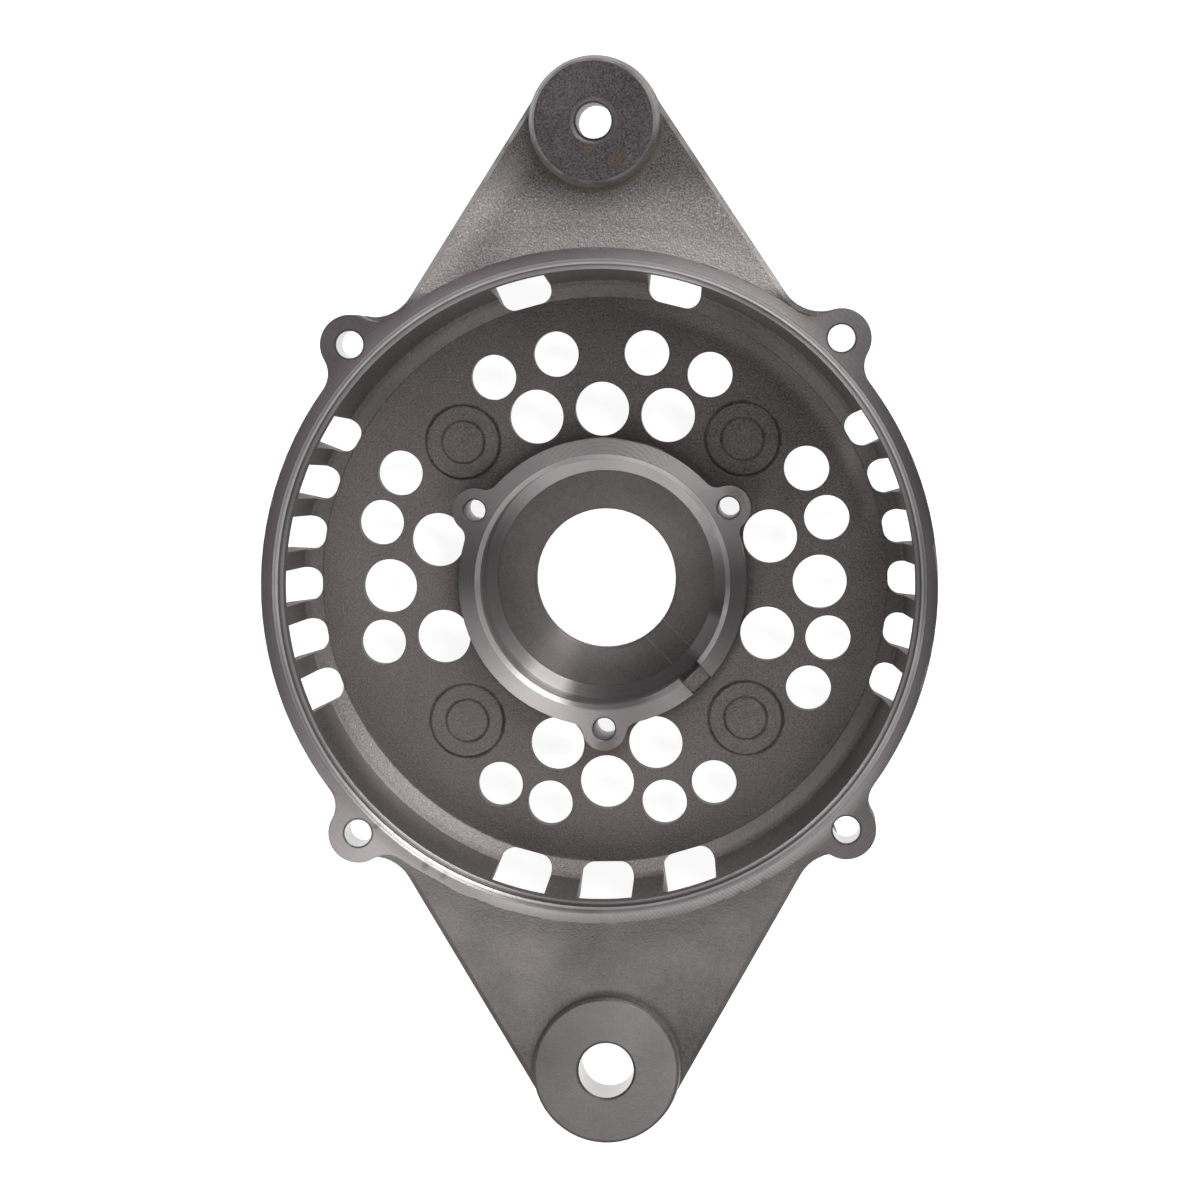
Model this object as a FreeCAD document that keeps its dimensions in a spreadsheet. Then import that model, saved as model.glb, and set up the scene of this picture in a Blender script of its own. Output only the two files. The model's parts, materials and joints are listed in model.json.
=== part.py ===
import FreeCAD, Part
import math
import os

import Sketcher

# Alternator end housing: one aluminium die casting, seen from its open side.
# The frame: +Z is the bearing axis, out of the open side. Z = 0 is the seat of the bearing.
# +Y points to the upper ear with the threaded hole, -Y to the lower ear with the pivot hole.

NODE = "end_housing"

# Driving dimensions, in millimetres, and angles in degrees
DIMENSIONS = {
    # Rim and the register that centres the stator
    "rim_diameter": 127.0,
    "rim_width": 3.1,
    "rim_band_height": 9.5,
    "rim_band_step": 1.4,
    "register_depth": 2.0,
    "register_chamfer": 1.1,
    "seat_width": 0.9,
    # Bowl
    "bowl_depth": 22.5,
    "plate_thickness": 4.0,
    "inner_wall_lean": 1.9,
    "floor_corner_width": 3.3,
    "outer_wall_lean": 1.1,
    "face_chamfer": 4.0,
    # Hub, bearing pocket and nose
    "bearing_diameter": 47.0,
    "bearing_width": 14.0,
    "bearing_chamfer": 1.0,
    "hub_wall": 4.0,
    "seat_ring_width": 2.5,
    "cast_floor_drop": 0.6,
    "shaft_hole_diameter": 27.0,
    "shaft_hole_chamfer": 0.5,
    "nose_height": 7.0,
    "nose_floor_thickness": 4.5,
    "nose_chamfer": 1.5,
    "nose_ring_width": 6.0,
    "nose_recess_depth": 0.8,
    # Screws that hold the bearing in
    "screw_outset": 0.5,
    "screw_hole_diameter": 4.3,
    "screw_wall": 2.1,
    "screw_boss_blend": 2.6,
    # Keyway beside the bearing
    "key_angle": 313.5,
    "key_width": 4.8,
    "key_depth": 1.0,
    "key_face_depth": 0.5,
    "key_flat_depth": 0.35,
    "key_floor_depth": 0.2,
    # Lugs round the rim
    "lug_outset": 1.5,
    "lug_hole_diameter": 5.1,
    "lug_wall": 3.05,
    "lug_blend": 5.0,
    "lug_length": 11.0,
    "hole_edge_break": 0.2,
    # Vents in the plate
    "small_vent_diameter": 8.7,
    "large_vent_diameter": 10.4,
    "vent_ring_inset": 9.9,
    "vent_side_inset": 12.9,
    "vent_lower_inset": 15.25,
    "vent_near_hub_outset": 5.45,
    "vent_upper_pair_outset": 6.5,
    # Windows in the shoulder and the side wall
    "window_below_rim": 4.2,
    "window_outset": 0.1,
    "window_corner_radius": 2.6,
    "side_window_angle": 6.6,
    "side_window_pitch": 10.0,
    "ear_window_angle": 10.2,
    "window_to_ear": 0.9,
    "window_into_ear": 1.0,
    # Marks of the ejector pins
    "pin_mark_inset": 16.3,
    "pin_mark_diameter": 14.3,
    "pin_mark_border": 3.05,
    "pin_mark_depth": 0.3,
    "pin_centre_depth": 0.2,
    # Both ears
    "ear_above_corner": 4.0,
    "ear_blend": 8.0,
    "ear_edge_break": 0.9,
    "ear_inside_boss": 0.3,
    "boss_foot": 1.0,
    "boss_edge_break": 0.5,
    # Upper ear, for the belt adjuster
    "upper_hole_outset": 23.7,
    "upper_flank_angle": 32.9,
    "upper_ear_thickness": 9.0,
    "upper_boss_diameter": 25.0,
    "upper_boss_lean": 0.8,
    "upper_boss_rise": 4.5,
    "upper_hole_diameter": 7.0,
    "upper_hole_chamfer": 1.0,
    # Lower ear, for the pivot bolt
    "lower_hole_outset": 28.7,
    "lower_flank_angle": 30.1,
    "lower_ear_thickness": 11.0,
    "lower_boss_diameter": 28.2,
    "lower_boss_lean": 0.2,
    "lower_boss_rise": 2.5,
    "lower_hole_diameter": 10.5,
    "lower_hole_chamfer": 0.4,
}

FULL_TURN = 360.0
QUARTER_TURN = 90.0

# Angles are counter-clockwise from +X. The vents on the right, which the left side mirrors:
SMALL_VENT_ANGLES = (78.7, 62.1, 28.3, 15.1, -15.1, -62.3, -75.6)
UPPER_PAIR_ANGLE = 68.2
SIDE_VENT_ANGLE = -1.0
NEAR_HUB_VENT_ANGLES = (14.2, -18.8, -73.3)

# One more small vent, on the right only
LONE_SMALL_VENT_ANGLE = -28.5

# First angle of each run of side windows, and the angles of the windows at the ears
SIDE_WINDOWS_IN_A_RUN = 6
SIDE_WINDOW_FIRST_ANGLES = (-20.0, 150.0)
EAR_WINDOW_ANGLES = (75.5, 104.5, 254.0, 270.0, 286.0)

# The lugs lie evenly on either side of the ears, and each has a pin mark inside it
LUG_COUNT = 4
LUG_ANGLE = FULL_TURN / LUG_COUNT / 2

# The first screw is below the bearing
SCREW_COUNT = 3
SCREW_ANGLE = -QUARTER_TURN

# How far a cutting tool runs past the metal
OVERRUN = 2.0

# The most of its wall that a rounded or chamfered edge may take
EDGE_SHARE = 0.9

# How near a measured edge must lie to where it is looked for
NEAR = 0.001


class Size:
    """A size as a formula of the sheet's cells, with its present value beside it."""

    def __init__(self, formula, value):
        self.formula = formula
        self.value = value

    def __add__(self, other):
        other = as_size(other)
        return Size(f"({self.formula} + {other.formula})", self.value + other.value)

    def __sub__(self, other):
        other = as_size(other)
        return Size(f"({self.formula} - {other.formula})", self.value - other.value)

    def __mul__(self, other):
        other = as_size(other)
        return Size(f"({self.formula} * {other.formula})", self.value * other.value)

    def __truediv__(self, other):
        other = as_size(other)
        return Size(f"({self.formula} / {other.formula})", self.value / other.value)

    def __neg__(self):
        return as_size(0) - self


def as_size(number):
    """A plain number as a Size; a Size stays as it is."""
    if isinstance(number, Size):
        return number
    return Size(f"({number!r})", float(number))


def cosine(angle):
    angle = as_size(angle)
    return Size(f"cos({angle.formula})", math.cos(math.radians(angle.value)))


def sine(angle):
    angle = as_size(angle)
    return Size(f"sin({angle.formula})", math.sin(math.radians(angle.value)))


def tangent(angle):
    angle = as_size(angle)
    return Size(f"tan({angle.formula})", math.tan(math.radians(angle.value)))


def root(size):
    return Size(f"sqrt({size.formula})", math.sqrt(size.value))


def limited(edge, wall):
    """An edge's size, held to its share of the wall it is on."""
    most = wall * EDGE_SHARE
    return Size(f"min({edge.formula}; {most.formula})", min(edge.value, most.value))


def polar(radius, angle):
    """The point at a radius and an angle from the bearing axis."""
    radius = as_size(radius)
    return radius * cosine(angle), radius * sine(angle)


doc = FreeCAD.newDocument("EndHousing")
sheet = doc.addObject("Spreadsheet::Sheet", "sizes")


def fill_sheet():
    """Writes each driving dimension to a row of the sheet and gives the cells as Sizes."""
    named = {}
    for row, (name, value) in enumerate(DIMENSIONS.items(), start=1):
        sheet.set(f"A{row}", name)
        sheet.set(f"B{row}", str(value))
        sheet.setAlias(f"B{row}", name)
        named[name] = Size(f"sizes.{name}", value)
    return named


S = fill_sheet()
doc.recompute()

# Heights along the bearing axis, each built up from the nose
NOSE_Z = -S["nose_floor_thickness"]
FACE_Z = NOSE_Z + S["nose_height"]
FLOOR_Z = FACE_Z + S["plate_thickness"]
RIM_Z = FLOOR_Z + S["bowl_depth"]
HUB_Z = S["bearing_width"]
CORNER_Z = FACE_Z + S["face_chamfer"]
EAR_BOTTOM_Z = CORNER_Z + S["ear_above_corner"]
BAND_UNDER_Z = RIM_Z - S["rim_band_height"]
LUG_BOTTOM_Z = RIM_Z - S["lug_length"]
SCREW_BOSS_Z = NOSE_Z + S["nose_chamfer"]

# Radii of the bowl, each built up from the rim
RIM_R = S["rim_diameter"] / 2
REGISTER_R = RIM_R - S["rim_width"]
SEAT_R = REGISTER_R - S["seat_width"]
FLOOR_R = SEAT_R - S["inner_wall_lean"] - S["floor_corner_width"]
WALL_TOP_R = RIM_R - S["rim_band_step"]
FACE_R = WALL_TOP_R - S["outer_wall_lean"] - S["face_chamfer"]

# Radii of the hub, each built up from the bearing
BORE_R = S["bearing_diameter"] / 2
SHAFT_R = S["shaft_hole_diameter"] / 2
SEAT_RING_R = BORE_R - S["seat_ring_width"]
HUB_R = BORE_R + S["hub_wall"]
RECESS_R = HUB_R - S["nose_chamfer"] - S["nose_ring_width"]

# Where the lugs, the screws and the pin marks are, and how large
LUG_CIRCLE_R = RIM_R + S["lug_outset"]
LUG_HOLE_R = S["lug_hole_diameter"] / 2
LUG_R = LUG_HOLE_R + S["lug_wall"]
SCREW_CIRCLE_R = HUB_R + S["screw_outset"]
SCREW_HOLE_R = S["screw_hole_diameter"] / 2
PIN_MARK_R = S["pin_mark_diameter"] / 2

body = doc.addObject("PartDesign::Body", NODE)
body.Label = NODE

# The metal's volume after each feature
volumes = [0.0]


def origin_plane(role):
    """One of the body's own origin planes, by its role."""
    return next(f for f in body.Origin.OriginFeatures if f.Role == role)


def origin_axis(role):
    """One of the body's own origin axes, by its role."""
    return next(f for f in body.Origin.OriginFeatures if f.Role == role)


def new_sketch(name, plane="XY_Plane", height=None):
    """A sketch on an origin plane, or at a height above the XY plane."""
    sketch = body.newObject("Sketcher::SketchObject", name)
    sketch.AttachmentSupport = (origin_plane(plane), [""])
    sketch.MapMode = "FlatFace"
    if height is not None:
        sketch.setExpression("AttachmentOffset.Base.z", height.formula)
    return sketch


def bind(sketch, index, size):
    """Ties one constraint of a sketch to its formula."""
    sketch.setExpression(f"Constraints[{index}]", size.formula)


def fix_point(sketch, geometry, position, point):
    """Holds a point of the geometry at a pair of Sizes."""
    for kind, size in zip(("DistanceX", "DistanceY"), point):
        index = sketch.addConstraint(
            Sketcher.Constraint(kind, -1, 1, geometry, position, size.value)
        )
        bind(sketch, index, size)


def vector(point):
    return FreeCAD.Vector(point[0].value, point[1].value, 0)


def draw_outline(sketch, corners):
    """Draws a closed outline through the corners.

    A corner is (x, y), reached by a straight line, or (x, y, radius, side), reached by
    an arc of that radius. Side is 1 if the arc turns counter-clockwise and -1 if it
    turns clockwise.
    """
    corners = [tuple(map(as_size, c[:3])) + tuple(c[3:]) for c in corners]
    ends = []
    for previous, corner in zip(corners[-1:] + corners[:-1], corners):
        start, end = vector(previous), vector(corner)
        if len(corner) == 2:
            index = sketch.addGeometry(Part.LineSegment(start, end), False)
            ends.append((index, 1, 2))
            continue
        radius, side = corner[2], corner[3]
        half = (end - start) * 0.5
        across = FreeCAD.Vector(-half.y, half.x, 0) * (side / half.Length)
        reach = math.sqrt(max(radius.value**2 - half.Length**2, 0.0))
        centre = start + half + across * reach
        angles = [math.atan2(p.y - centre.y, p.x - centre.x) for p in (start, end)]
        if side < 0:
            angles.reverse()
        circle = Part.Circle(centre, FreeCAD.Vector(0, 0, 1), radius.value)
        index = sketch.addGeometry(Part.ArcOfCircle(circle, *angles), False)
        bound = sketch.addConstraint(Sketcher.Constraint("Radius", index, radius.value))
        bind(sketch, bound, radius)
        ends.append((index, 1, 2) if side > 0 else (index, 2, 1))
    for number, (index, start, end) in enumerate(ends):
        following = ends[(number + 1) % len(ends)]
        sketch.addConstraint(
            Sketcher.Constraint("Coincident", index, end, following[0], following[1])
        )
        fix_point(sketch, index, end, corners[number])


def draw_circle(sketch, centre, radius):
    """Draws a circle whose centre and radius follow their formulas."""
    circle = Part.Circle(vector(centre), FreeCAD.Vector(0, 0, 1), radius.value)
    index = sketch.addGeometry(circle, False)
    bound = sketch.addConstraint(Sketcher.Constraint("Radius", index, radius.value))
    bind(sketch, bound, radius)
    fix_point(sketch, index, 3, centre)


def turn_profile(kind, name, corners, axis=None):
    """Turns a half profile of (radius, height) corners about Z, or about an axis
    parallel to it at a point of the Y axis."""
    sketch = new_sketch(name + "_profile", "YZ_Plane" if axis else "XZ_Plane")
    if axis is None:
        draw_outline(sketch, corners)
    else:
        bottom = (axis, as_size(0))
        top = (axis, as_size(1))
        line = sketch.addGeometry(Part.LineSegment(vector(bottom), vector(top)), True)
        fix_point(sketch, line, 1, bottom)
        fix_point(sketch, line, 2, top)
        draw_outline(sketch, [(axis + as_size(c[0]), *c[1:]) for c in corners])
    feature = body.newObject("PartDesign::" + kind, name)
    feature.Profile = sketch
    feature.ReferenceAxis = (sketch, ["Axis0"] if axis else ["V_Axis"])
    feature.Angle = FULL_TURN
    return settle(feature, adds=kind == "Revolution")


def settle(feature, adds):
    """Makes the feature the body's tip, and stops if it adds metal where it should cut,
    cuts where it should add, or does nothing."""
    body.Tip = feature
    doc.recompute()
    volumes.append(body.Shape.Volume)
    if (volumes[-1] > volumes[-2]) != adds or volumes[-1] == volumes[-2]:
        raise RuntimeError(f"{feature.Name} left the metal at {volumes[-1]:.1f} mm3")
    return feature


def pad(name, sketch, length):
    """Pads a sketch upwards."""
    feature = body.newObject("PartDesign::Pad", name)
    feature.Profile = sketch
    feature.Reversed = False
    feature.setExpression("Length", length.formula)
    return settle(feature, adds=True)


def cut_down(name, sketch, depth):
    """Cuts a sketch down from its plane."""
    feature = body.newObject("PartDesign::Pocket", name)
    feature.Profile = sketch
    feature.Reversed = False
    feature.setExpression("Length", depth.formula)
    return settle(feature, adds=False)


def repeat_round(name, feature, count, pitch, adds=False):
    """Repeats a feature round the bearing axis. Pitch is the angle between copies."""
    pattern = body.newObject("PartDesign::PolarPattern", name)
    pattern.Originals = [feature]
    pattern.Axis = (origin_axis("Z_Axis"), [""])
    pattern.Occurrences = count
    pattern.setExpression("Angle", (as_size(pitch) * (count - 1)).formula)
    return settle(pattern, adds)


def repeat_mirrored(name, feature):
    """Repeats a cut on the other side of the YZ plane."""
    mirrored = body.newObject("PartDesign::Mirrored", name)
    mirrored.Originals = [feature]
    mirrored.MirrorPlane = (origin_plane("YZ_Plane"), [""])
    return settle(mirrored, adds=False)


def edges_where(test):
    """Names of the body's level edges that pass the test, which is given the edge and
    the point half way along it."""
    names = []
    for number, edge in enumerate(body.Tip.Shape.Edges, start=1):
        middle = edge.valueAt((edge.FirstParameter + edge.LastParameter) / 2)
        if edge.BoundBox.ZLength < NEAR and test(edge, middle):
            names.append(f"Edge{number}")
    return names


def chamfer(name, edges, size):
    """Chamfers outer edges."""
    metal = body.Tip
    feature = body.newObject("PartDesign::Chamfer", name)
    feature.Base = (metal, edges)
    feature.setExpression("Size", size.formula)
    return settle(feature, adds=False)


# Ears, each with its boss
def ear_outline(sketch, way, reach, end_radius, flank_angle):
    """An ear that tapers to a round end, blended into the two lugs beside it.

    Way is 1 for the upper ear and -1 for the lower ear.
    """
    lug_x, lug_y = polar(LUG_CIRCLE_R, LUG_ANGLE)
    inner_x, inner_y = polar(SEAT_R, LUG_ANGLE)
    blend = S["ear_blend"]
    out_x, out_y = cosine(flank_angle), sine(flank_angle)
    end_x, end_y = end_radius * out_x, reach + end_radius * out_y
    # The blend arc's centre, from the lug's centre: across the flank, then along it
    gap = reach * out_y + end_radius + blend - (lug_x * out_x + lug_y * out_y)
    lug_to_arc = LUG_R + blend
    along = root(lug_to_arc * lug_to_arc - gap * gap)
    arc_x = lug_x + gap * out_x - along * out_y
    arc_y = lug_y + gap * out_y + along * out_x
    share = LUG_R / lug_to_arc
    right = [
        (inner_x, inner_y * way),
        (lug_x + (arc_x - lug_x) * share, (lug_y + (arc_y - lug_y) * share) * way),
        (arc_x - blend * out_x, (arc_y - blend * out_y) * way),
        (end_x, end_y * way),
    ]
    left = [(-x, y) for x, y in reversed(right)]
    corners = [right[0], right[1], (*right[2], blend, -way), right[3]]
    corners += [(*left[0], end_radius, way), left[1], (*left[2], blend, -way), left[3]]
    draw_outline(sketch, corners)


def ear_top(name):
    return EAR_BOTTOM_Z + S[name + "_ear_thickness"]


def boss_top(name):
    return ear_top(name) + S[name + "_boss_rise"]


def ear_reach(name):
    """How far the ear's hole is from the bearing axis."""
    return RIM_R + S[name + "_hole_outset"]


def break_flanks(name, way, thickness):
    """Breaks the edges of the ear's flanks, while the ear is still on its own."""
    past_lug = (polar(LUG_CIRCLE_R, LUG_ANGLE)[1] + LUG_R).value

    def on_flank(edge, middle):
        return isinstance(edge.Curve, Part.Line) and middle.y * way > past_lug

    size = limited(S["ear_edge_break"], thickness / 2)
    chamfer(name + "_flanks", edges_where(on_flank), size)


def ear(name, way):
    thickness = S[name + "_ear_thickness"]
    base = S[name + "_boss_diameter"] / 2
    end_radius = base - S["ear_inside_boss"]
    sketch = new_sketch(name + "_ear_outline", height=EAR_BOTTOM_Z)
    ear_outline(sketch, way, ear_reach(name), end_radius, S[name + "_flank_angle"])
    pad(name + "_ear", sketch, thickness)
    break_flanks(name, way, thickness)
    edge = limited(S["boss_edge_break"], S[name + "_boss_rise"])
    bottom = EAR_BOTTOM_Z - S["boss_foot"]
    top = boss_top(name)
    top_r = base - S[name + "_boss_lean"]
    turn_profile(
        "Revolution",
        name + "_boss",
        [
            (0, bottom),
            (base - edge, bottom),
            (base, bottom + edge),
            (base, ear_top(name)),
            (top_r, top - edge),
            (top_r - edge, top),
            (0, top),
        ],
        axis=ear_reach(name) * way,
    )


# Outer form of the bowl, solid at first, which joins the two ears
def outer_form():
    turn_profile(
        "Revolution",
        "outer_form",
        [
            (0, NOSE_Z),
            (HUB_R - S["nose_chamfer"], NOSE_Z),
            (HUB_R, SCREW_BOSS_Z),
            (HUB_R, FACE_Z),
            (FACE_R, FACE_Z),
            (FACE_R + S["face_chamfer"], CORNER_Z),
            (WALL_TOP_R, BAND_UNDER_Z),
            (RIM_R, BAND_UNDER_Z),
            (RIM_R, RIM_Z),
            (0, RIM_Z),
        ],
    )


# Lugs round the rim, each blended into it by an arc on either side
def blended_lug(ring_radius, inner_radius, centre_radius, lug_radius, blend, angle):
    """Corners of a lug that stands out from a ring, with a concave arc on either side.

    The three circles give a triangle: the bearing axis, the lug's centre and the
    centre of the concave arc. It gives the points where the arcs meet.
    """
    to_arc = ring_radius + blend
    lug_to_arc = lug_radius + blend
    along = (
        to_arc * to_arc + centre_radius * centre_radius - lug_to_arc * lug_to_arc
    ) / (centre_radius * 2)
    across = root(to_arc * to_arc - along * along)

    def placed(radial, sideways):
        x = radial * cosine(angle) - sideways * sine(angle)
        y = radial * sine(angle) + sideways * cosine(angle)
        return x, y

    corners = []
    for side in (-1, 1):
        on_ring = (along * ring_radius / to_arc, across * ring_radius / to_arc * side)
        share = lug_radius / lug_to_arc
        on_lug = (
            centre_radius + (along - centre_radius) * share,
            across * share * side,
        )
        inside = (inner_radius, across * ring_radius / to_arc * side)
        corners.append((placed(*inside), placed(*on_ring), placed(*on_lug)))
    (in_a, ring_a, lug_a), (in_b, ring_b, lug_b) = corners
    return [
        in_a,
        ring_a,
        (*lug_a, blend, -1),
        (*lug_b, lug_radius, 1),
        (*ring_b, blend, -1),
        in_b,
    ]


def rim_lugs():
    sketch = new_sketch("lug_outline", height=LUG_BOTTOM_Z)
    corners = blended_lug(
        RIM_R, SEAT_R, LUG_CIRCLE_R, LUG_R, S["lug_blend"], LUG_ANGLE
    )
    draw_outline(sketch, corners)
    lug = pad("lug", sketch, S["lug_length"])
    repeat_round("lugs", lug, LUG_COUNT, FULL_TURN / LUG_COUNT, adds=True)


# The bowl's inside, cut after the lugs and ears so that none of them reaches in
def bowl_inside():
    register_floor = RIM_Z - S["register_depth"]
    corner = S["floor_corner_width"]
    mouth = limited(S["register_chamfer"], S["register_depth"])
    above = RIM_Z + OVERRUN
    turn_profile(
        "Groove",
        "bowl_inside",
        [
            (0, above),
            (0, HUB_Z),
            (HUB_R, HUB_Z),
            (HUB_R, FLOOR_Z),
            (FLOOR_R, FLOOR_Z),
            (FLOOR_R + corner, FLOOR_Z + corner),
            (SEAT_R, register_floor),
            (REGISTER_R, register_floor),
            (REGISTER_R, RIM_Z - mouth),
            (REGISTER_R + mouth, RIM_Z),
            (REGISTER_R + mouth, above),
        ],
    )


# Bosses for the screws that hold the bearing in, which run out past the nose's side
def screw_bosses():
    sketch = new_sketch("screw_boss_outline", height=SCREW_BOSS_Z)
    corners = blended_lug(
        HUB_R,
        BORE_R,
        SCREW_CIRCLE_R,
        SCREW_HOLE_R + S["screw_wall"],
        S["screw_boss_blend"],
        SCREW_ANGLE,
    )
    draw_outline(sketch, corners)
    boss = pad("screw_boss", sketch, HUB_Z - SCREW_BOSS_Z)
    pitch = FULL_TURN / SCREW_COUNT
    repeat_round("screw_bosses", boss, SCREW_COUNT, pitch, adds=True)


# Bearing pocket, with a seat ring round its cast floor, and the shaft hole in that floor
def bearing_pocket():
    mouth = S["bearing_chamfer"]
    cast_floor = -S["cast_floor_drop"]
    hole_edge = S["shaft_hole_chamfer"]
    turn_profile(
        "Groove",
        "bearing_pocket",
        [
            (0, NOSE_Z - OVERRUN),
            (SHAFT_R, NOSE_Z - OVERRUN),
            (SHAFT_R, cast_floor - hole_edge),
            (SHAFT_R + hole_edge, cast_floor),
            (SEAT_RING_R, cast_floor),
            (SEAT_RING_R, 0),
            (BORE_R, 0),
            (BORE_R, HUB_Z - mouth),
            (BORE_R + mouth, HUB_Z),
            (BORE_R + mouth, HUB_Z + OVERRUN),
            (0, HUB_Z + OVERRUN),
        ],
    )


# A shallow recess in the nose, so that it stands on its outer ring
def nose_recess():
    recess_top = NOSE_Z + S["nose_recess_depth"]
    turn_profile(
        "Groove",
        "nose_recess",
        [
            (0, NOSE_Z - OVERRUN),
            (RECESS_R, NOSE_Z - OVERRUN),
            (RECESS_R, recess_top),
            (0, recess_top),
        ],
    )


# Keyway beside the bearing, its passage over the hub's face, and its mark on the floor
def box_corners(near, far, width, angle):
    """Corners of a rectangle that runs out from the bearing axis at an angle."""
    half = width / 2
    corners = []
    for radial, sideways in ((near, -half), (far, -half), (far, half), (near, half)):
        x = radial * cosine(angle) - sideways * sine(angle)
        y = radial * sine(angle) + sideways * cosine(angle)
        corners.append((x, y))
    return corners


def keyway():
    past_hub = HUB_R + OVERRUN
    flat_r = HUB_R - S["key_flat_depth"]
    cast_floor = -S["cast_floor_drop"]
    cuts = (
        ("keyway_wall", HUB_Z, SHAFT_R + OVERRUN, BORE_R + S["key_depth"], HUB_Z),
        ("keyway_face", HUB_Z, BORE_R, past_hub, S["key_face_depth"]),
        ("keyway_flat", HUB_Z, flat_r, past_hub, HUB_Z - FLOOR_Z),
        ("keyway_floor", cast_floor, SHAFT_R - OVERRUN, SEAT_RING_R, S["key_floor_depth"]),
    )
    for name, height, near, far, depth in cuts:
        sketch = new_sketch(name + "_outline", height=height)
        draw_outline(sketch, box_corners(near, far, S["key_width"], S["key_angle"]))
        cut_down(name, sketch, depth)


# Round vents in the plate
def vents():
    small_r = S["small_vent_diameter"] / 2
    large_r = S["large_vent_diameter"] / 2
    ring_r = FLOOR_R - S["vent_ring_inset"]
    side_r = FLOOR_R - S["vent_side_inset"]
    lower_r = FLOOR_R - S["vent_lower_inset"]
    near_hub_r = HUB_R + S["vent_near_hub_outset"]
    upper_pair_r = HUB_R + S["vent_upper_pair_outset"]
    depth = FLOOR_Z - NOSE_Z + OVERRUN
    paired = new_sketch("paired_vent_outlines", height=FLOOR_Z)
    for angle in SMALL_VENT_ANGLES:
        draw_circle(paired, polar(ring_r, angle), small_r)
    for angle in NEAR_HUB_VENT_ANGLES:
        draw_circle(paired, polar(near_hub_r, angle), large_r)
    draw_circle(paired, polar(upper_pair_r, UPPER_PAIR_ANGLE), large_r)
    draw_circle(paired, polar(side_r, SIDE_VENT_ANGLE), large_r)
    right = cut_down("vents_right", paired, depth)
    repeat_mirrored("vents_left", right)
    lone = new_sketch("lone_vent_outlines", height=FLOOR_Z)
    draw_circle(lone, polar(ring_r, LONE_SMALL_VENT_ANGLE), small_r)
    draw_circle(lone, polar(near_hub_r, QUARTER_TURN), large_r)
    draw_circle(lone, polar(lower_r, -QUARTER_TURN), large_r)
    cut_down("lone_vents", lone, depth)


# Windows that wrap from the plate round the shoulder into the side wall
def window_corners(angle, spread, far):
    """Corners of a window: radial sides, and an inner end with two round corners."""
    near = FLOOR_R + S["window_outset"]
    half = spread / 2
    half_end = near * tangent(half)
    corner = limited(S["window_corner_radius"], half_end)
    # A round corner touches the inner end and a radial side that leans by half the
    # spread, so it starts this far from where the two would meet
    lead = corner * tangent((as_size(QUARTER_TURN) - half) / 2)

    def placed(radial, sideways):
        x = radial * cosine(angle) - sideways * sine(angle)
        y = radial * sine(angle) + sideways * cosine(angle)
        return x, y

    def on_side(side):
        return (near + lead * cosine(half), (half_end + lead * sine(half)) * side)

    far_half = far * tangent(half)
    return [
        placed(near, lead - half_end),
        (*placed(*on_side(-1)), corner, 1),
        placed(far, -far_half),
        placed(far, far_half),
        placed(*on_side(1)),
        (*placed(near, half_end - lead), corner, 1),
    ]


def side_windows():
    """Two runs of windows that cut right through the wall below the rim."""
    top = RIM_Z - S["window_below_rim"]
    spread, pitch = S["side_window_angle"], S["side_window_pitch"]
    for run, first_angle in enumerate(SIDE_WINDOW_FIRST_ANGLES, start=1):
        sketch = new_sketch(f"side_window_outline_{run}", height=top)
        draw_outline(sketch, window_corners(first_angle, spread, RIM_R + OVERRUN))
        window = cut_down(f"side_window_{run}", sketch, top - FACE_Z + OVERRUN)
        repeat_round(f"side_windows_{run}", window, SIDE_WINDOWS_IN_A_RUN, pitch)


def ear_windows():
    """Windows beside the ears: inside the wall down past the ear, then right through."""
    inner_top = RIM_Z - S["window_below_rim"]
    outer_top = EAR_BOTTOM_Z - S["window_to_ear"]
    cuts = (
        ("ear_windows_inner", inner_top, REGISTER_R + S["window_into_ear"]),
        ("ear_windows_outer", outer_top, RIM_R + OVERRUN),
    )
    for name, height, far in cuts:
        sketch = new_sketch(name + "_outline", height=height)
        for angle in EAR_WINDOW_ANGLES:
            draw_outline(sketch, window_corners(angle, S["ear_window_angle"], far))
        cut_down(name, sketch, height - FACE_Z + OVERRUN)


# Marks that the ejector pins left on the plate
def pin_marks():
    centre = polar(FLOOR_R - S["pin_mark_inset"], LUG_ANGLE)
    middle_r = PIN_MARK_R - S["pin_mark_border"]
    mark_depth = S["pin_mark_depth"]
    cuts = (
        ("pin_mark", PIN_MARK_R, mark_depth),
        ("pin_centre", middle_r, mark_depth + S["pin_centre_depth"]),
    )
    for name, radius, depth in cuts:
        sketch = new_sketch(name + "_outline", height=FLOOR_Z)
        draw_circle(sketch, centre, radius)
        mark = cut_down(name, sketch, depth)
        repeat_round(name + "s", mark, LUG_COUNT, FULL_TURN / LUG_COUNT)


# Screw holes and bolt holes, each with its broken edges
def cut_hole(name, axis, radius, top, bottom, edge):
    """Cuts a hole through, with a chamfer at each end. Its axis is parallel to Z."""
    corners = [
        (0, bottom - OVERRUN),
        (radius + edge, bottom - OVERRUN),
        (radius + edge, bottom),
        (radius, bottom + edge),
        (radius, top - edge),
        (radius + edge, top),
        (radius + edge, top + OVERRUN),
        (0, top + OVERRUN),
    ]
    return turn_profile("Groove", name, corners, axis=axis)


def bolt_holes():
    bottom = EAR_BOTTOM_Z - S["boss_foot"]
    for name, hole_name, way in (("upper", "adjuster_hole", 1), ("lower", "pivot_hole", -1)):
        radius = S[name + "_hole_diameter"] / 2
        edge = S[name + "_hole_chamfer"]
        axis = ear_reach(name) * way
        cut_hole(hole_name, axis, radius, boss_top(name), bottom, edge)


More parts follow.
